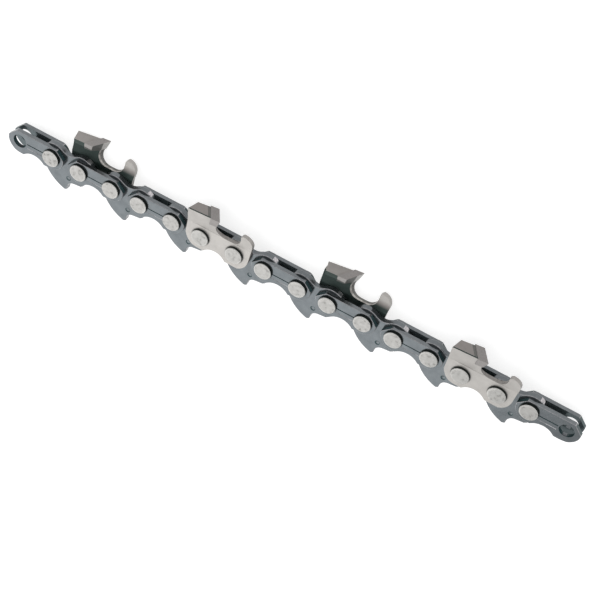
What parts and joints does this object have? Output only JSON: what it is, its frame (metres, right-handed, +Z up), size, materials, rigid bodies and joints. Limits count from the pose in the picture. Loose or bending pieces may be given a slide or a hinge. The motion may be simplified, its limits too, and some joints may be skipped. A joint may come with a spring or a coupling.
{
  "type": "saw chain run",
  "caption": "Straight run of carbide-tipped saw chain: hooked drive links turn on rivets between tie straps and left and right cutters with depth gauges.",
  "frame": {"origin": "on the surface the chain lies on, below the rivet line at the middle of the run", "axes": "+X along the run in the direction of travel, +Y towards the cutting side, +Z up, out of the chain's right-hand side"},
  "size_m": [0.1664, 0.0195, 0.0078],
  "materials": {
    "blued_steel": "satin blued steel",
    "bare_steel": "bare satin steel",
    "bright_steel": "bright pressed steel",
    "carbide": "ground sintered carbide"
  },
  "bodies": {
    "side_pair_0": {"right_tie_strap_0": "blued_steel", "left_tie_strap_0": "blued_steel", "rivet_01": "bright_steel"},
    "side_pair_1": {"right_tie_strap_1": "blued_steel", "left_cutter_1": "bare_steel", "left_carbide_tip_1": "carbide", "rivet_02": "bright_steel", "rivet_03": "bright_steel"},
    "side_pair_2": {"right_tie_strap_2": "blued_steel", "left_tie_strap_2": "blued_steel", "rivet_04": "bright_steel", "rivet_05": "bright_steel"},
    "side_pair_3": {"right_cutter_3": "bare_steel", "right_carbide_tip_3": "carbide", "left_tie_strap_3": "blued_steel", "rivet_06": "bright_steel", "rivet_07": "bright_steel"},
    "side_pair_4": {"right_tie_strap_4": "blued_steel", "left_tie_strap_4": "blued_steel", "rivet_08": "bright_steel", "rivet_09": "bright_steel"},
    "side_pair_5": {"right_tie_strap_5": "blued_steel", "left_cutter_5": "bare_steel", "left_carbide_tip_5": "carbide", "rivet_10": "bright_steel", "rivet_11": "bright_steel"},
    "side_pair_6": {"right_tie_strap_6": "blued_steel", "left_tie_strap_6": "blued_steel", "rivet_12": "bright_steel", "rivet_13": "bright_steel"},
    "side_pair_7": {"right_cutter_7": "bare_steel", "right_carbide_tip_7": "carbide", "left_tie_strap_7": "blued_steel", "rivet_14": "bright_steel", "rivet_15": "bright_steel"},
    "side_pair_8": {"right_tie_strap_8": "blued_steel", "left_tie_strap_8": "blued_steel", "rivet_16": "bright_steel"},
    "drive_link_body_1": {"drive_link_1": "blued_steel"},
    "drive_link_body_2": {"drive_link_2": "blued_steel"},
    "drive_link_body_3": {"drive_link_3": "blued_steel"},
    "drive_link_body_4": {"drive_link_4": "blued_steel"},
    "drive_link_body_5": {"drive_link_5": "blued_steel"},
    "drive_link_body_6": {"drive_link_6": "blued_steel"},
    "drive_link_body_7": {"drive_link_7": "blued_steel"},
    "drive_link_body_8": {"drive_link_8": "blued_steel"}
  },
  "joints": [
    {"name": "rivet_09_turn", "type": "hinge", "parent": "side_pair_4", "child": "drive_link_body_5", "pos_m": [0.005, 0, 0.0039], "axis": [0, 0, 1], "range_deg": [-30, 15]},
    {"name": "rivet_10_turn", "type": "hinge", "parent": "drive_link_body_5", "child": "side_pair_5", "pos_m": [0.01364, 0, 0.0039], "axis": [0, 0, 1], "range_deg": [-30, 15]},
    {"name": "rivet_11_turn", "type": "hinge", "parent": "side_pair_5", "child": "drive_link_body_6", "pos_m": [0.02364, 0, 0.0039], "axis": [0, 0, 1], "range_deg": [-30, 15]},
    {"name": "rivet_12_turn", "type": "hinge", "parent": "drive_link_body_6", "child": "side_pair_6", "pos_m": [0.03228, 0, 0.0039], "axis": [0, 0, 1], "range_deg": [-30, 15]},
    {"name": "rivet_13_turn", "type": "hinge", "parent": "side_pair_6", "child": "drive_link_body_7", "pos_m": [0.04228, 0, 0.0039], "axis": [0, 0, 1], "range_deg": [-30, 15]},
    {"name": "rivet_14_turn", "type": "hinge", "parent": "drive_link_body_7", "child": "side_pair_7", "pos_m": [0.05092, 0, 0.0039], "axis": [0, 0, 1], "range_deg": [-30, 15]},
    {"name": "rivet_15_turn", "type": "hinge", "parent": "side_pair_7", "child": "drive_link_body_8", "pos_m": [0.06092, 0, 0.0039], "axis": [0, 0, 1], "range_deg": [-30, 15]},
    {"name": "rivet_16_turn", "type": "hinge", "parent": "drive_link_body_8", "child": "side_pair_8", "pos_m": [0.06956, 0, 0.0039], "axis": [0, 0, 1], "range_deg": [-30, 15]},
    {"name": "rivet_08_turn", "type": "hinge", "parent": "side_pair_4", "child": "drive_link_body_4", "pos_m": [-0.005, 0, 0.0039], "axis": [0, 0, 1], "range_deg": [-15, 30]},
    {"name": "rivet_07_turn", "type": "hinge", "parent": "drive_link_body_4", "child": "side_pair_3", "pos_m": [-0.01364, 0, 0.0039], "axis": [0, 0, 1], "range_deg": [-15, 30]},
    {"name": "rivet_06_turn", "type": "hinge", "parent": "side_pair_3", "child": "drive_link_body_3", "pos_m": [-0.02364, 0, 0.0039], "axis": [0, 0, 1], "range_deg": [-15, 30]},
    {"name": "rivet_05_turn", "type": "hinge", "parent": "drive_link_body_3", "child": "side_pair_2", "pos_m": [-0.03228, 0, 0.0039], "axis": [0, 0, 1], "range_deg": [-15, 30]},
    {"name": "rivet_04_turn", "type": "hinge", "parent": "side_pair_2", "child": "drive_link_body_2", "pos_m": [-0.04228, 0, 0.0039], "axis": [0, 0, 1], "range_deg": [-15, 30]},
    {"name": "rivet_03_turn", "type": "hinge", "parent": "drive_link_body_2", "child": "side_pair_1", "pos_m": [-0.05092, 0, 0.0039], "axis": [0, 0, 1], "range_deg": [-15, 30]},
    {"name": "rivet_02_turn", "type": "hinge", "parent": "side_pair_1", "child": "drive_link_body_1", "pos_m": [-0.06092, 0, 0.0039], "axis": [0, 0, 1], "range_deg": [-15, 30]},
    {"name": "rivet_01_turn", "type": "hinge", "parent": "drive_link_body_1", "child": "side_pair_0", "pos_m": [-0.06956, 0, 0.0039], "axis": [0, 0, 1], "range_deg": [-15, 30]}
  ]
}
